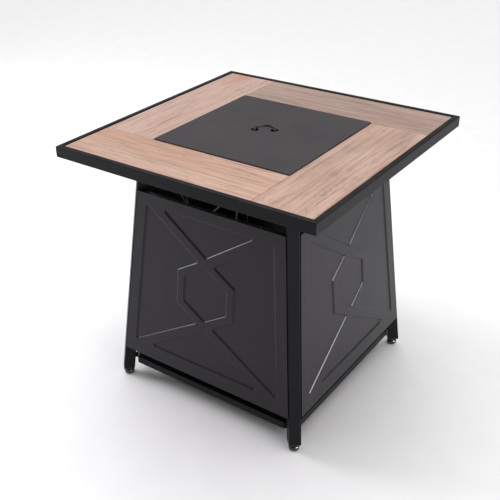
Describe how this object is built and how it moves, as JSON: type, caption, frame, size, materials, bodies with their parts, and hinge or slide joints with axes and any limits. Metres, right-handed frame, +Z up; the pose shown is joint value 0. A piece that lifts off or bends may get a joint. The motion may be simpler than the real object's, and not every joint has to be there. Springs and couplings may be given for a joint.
{
  "type": "gas fire table",
  "caption": "Square tiled gas fire table with a covered fire bowl, a drop-in lid with a folding handle and a tapered base of embossed steel panels with a door.",
  "frame": {"origin": "on the ground under the middle of the table, at the bottom of its feet", "axes": "+Z up; -Y is the front panel's side, +X the right panel's side; the door is at +Y and the controls at -X"},
  "size_m": [0.711, 0.711, 0.6876],
  "materials": {
    "frame_coat": "matt",
    "panel_coat": "satin",
    "lid_coat": "matt",
    "tile": "matt",
    "stainless": "satin",
    "zinc": "satin",
    "black_screw": "satin",
    "bowl_steel": "matt",
    "brass": "satin",
    "rock": "rough",
    "ceramic_white": "satin",
    "glide": "gloss",
    "black_plastic": "matt",
    "magnet": "matt",
    "cell": "satin",
    "lead_sleeve": "satin",
    "copper": "satin"
  },
  "bodies": {
    "base": {"tabletop_rim": "frame_coat", "rim_rivets": "black_screw", "tabletop_deck": "frame_coat", "tile_front": "tile", "tile_right": "tile", "tile_back": "tile", "tile_left": "tile", "fire_bowl": "bowl_steel", "bowl_screws": "black_screw", "burner_ring": "stainless", "burner_inlet": "stainless", "burner_nut": "stainless", "pilot_bracket": "stainless", "ignition_electrode": "ceramic_white", "flame_probe": "copper", "lava_rocks": "rock", "top_frame": "frame_coat", "tabletop_bolts": "zinc", "leg_bolts": "zinc", "leg_front_left": "frame_coat", "leg_front_right": "frame_coat", "leg_back_right": "frame_coat", "leg_back_left": "frame_coat", "foot_inserts": "black_plastic", "panel_front": "panel_coat", "panel_right": "panel_coat", "panel_left": "panel_coat", "panel_screws": "black_screw", "leg_hinge_leaves": "black_screw", "door_magnet": "magnet", "bottom_tray": "frame_coat", "tray_bolts": "zinc", "cylinder_seat": "frame_coat", "control_panel": "black_screw", "control_screws": "black_screw", "gas_valve": "brass", "valve_inlet": "brass", "igniter_body": "black_plastic", "igniter_cell": "cell", "supply_tube": "stainless", "ignition_lead": "lead_sleeve", "probe_lead": "copper"},
    "lid": {"lid": "lid_coat", "handle_clips": "lid_coat"},
    "lid_handle": {"lid_handle": "black_screw"},
    "door": {"door_panel": "panel_coat", "door_hinge_leaves": "black_screw"},
    "tap_stem": {"valve_stem": "brass"},
    "knob": {"control_knob": "black_plastic"},
    "igniter_button": {"igniter_button": "black_plastic"},
    "lock_screw": {"cylinder_lock_screw": "black_screw"},
    "foot_front_left": {"foot_front_left": "glide"},
    "foot_front_right": {"foot_front_right": "glide"},
    "foot_back_right": {"foot_back_right": "glide"},
    "foot_back_left": {"foot_back_left": "glide"}
  },
  "joints": [
    {"name": "lid_lift", "type": "slide", "parent": "base", "child": "lid", "axis": [0, 0, 1], "range_m": [0, 0.3]},
    {"name": "lid_handle_flip", "type": "hinge", "parent": "lid", "child": "lid_handle", "pos_m": [0, 0, 0.6798], "axis": [0.9003, 0.4352, 0], "range_deg": [0, 90]},
    {"name": "door_swing", "type": "hinge", "parent": "base", "child": "door", "pos_m": [0.23742, 0.26342, 0.32781], "axis": [0.0946, 0.0946, -0.991], "range_deg": [0, 95]},
    {"name": "gas_tap_turn", "type": "hinge", "parent": "base", "child": "tap_stem", "pos_m": [-0.2755, 0.04, 0.6173], "axis": [-1, 0, 0], "range_deg": [0, 90]},
    {"name": "knob_push", "type": "slide", "parent": "tap_stem", "child": "knob", "axis": [1, 0, 0], "range_m": [0, 0.004], "stiffness_N_per_m": 500, "springref_m": -0.004},
    {"name": "igniter_push", "type": "slide", "parent": "base", "child": "igniter_button", "axis": [1, 0, 0], "range_m": [0, 0.005], "stiffness_N_per_m": 400, "springref_m": -0.004},
    {"name": "cylinder_lock_feed", "type": "slide", "parent": "base", "child": "lock_screw", "axis": [0, -1, 0], "range_m": [0, 0.015]},
    {"name": "foot_front_left_level", "type": "slide", "parent": "base", "child": "foot_front_left", "axis": [0, 0, -1], "range_m": [0, 0.012]},
    {"name": "foot_front_right_level", "type": "slide", "parent": "base", "child": "foot_front_right", "axis": [0, 0, -1], "range_m": [0, 0.012]},
    {"name": "foot_back_right_level", "type": "slide", "parent": "base", "child": "foot_back_right", "axis": [0, 0, -1], "range_m": [0, 0.012]},
    {"name": "foot_back_left_level", "type": "slide", "parent": "base", "child": "foot_back_left", "axis": [0, 0, -1], "range_m": [0, 0.012]}
  ]
}
